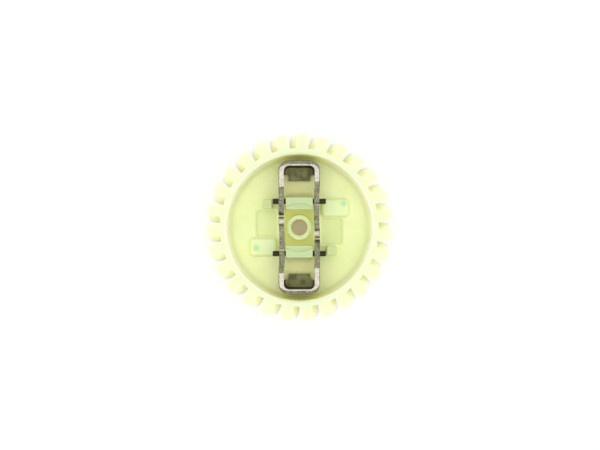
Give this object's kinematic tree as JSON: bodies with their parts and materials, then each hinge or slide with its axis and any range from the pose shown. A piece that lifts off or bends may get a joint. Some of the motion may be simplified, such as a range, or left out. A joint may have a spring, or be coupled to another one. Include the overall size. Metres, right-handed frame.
{
  "type": "governor gear",
  "caption": "Moulded helical cup gear with a hub tube and bearing posts, carrying stamped flyweights hinged on steel pins.",
  "frame": {"origin": "centre of the gear's bounding box in plan, on the back face of the gear", "axes": "+Z along the gear's axis, out of the open side of the cup; +Y from the axis to the upper flyweight as the picture shows it; +X along the pivot pins to the right"},
  "size_m": [0.0704, 0.0704, 0.0138],
  "materials": {
    "nylon": "satin moulded nylon, slightly translucent",
    "stamped_steel": "oiled stamped sheet",
    "black_steel": "black oxide"
  },
  "bodies": {
    "gear": {"gear": "nylon", "pivot_pin_upper": "black_steel", "pivot_pin_lower": "black_steel"},
    "flyweight_upper": {"flyweight_upper": "stamped_steel"},
    "flyweight_lower": {"flyweight_lower": "stamped_steel"}
  },
  "joints": [
    {"name": "flyweight_upper_pivot", "type": "hinge", "parent": "gear", "child": "flyweight_upper", "pos_m": [0, 0.0099, 0.0103], "axis": [1, 0, 0], "range_deg": [0, 30]},
    {"name": "flyweight_lower_pivot", "type": "hinge", "parent": "gear", "child": "flyweight_lower", "pos_m": [0, -0.0099, 0.0103], "axis": [-1, 0, 0], "range_deg": [0, 30]}
  ]
}
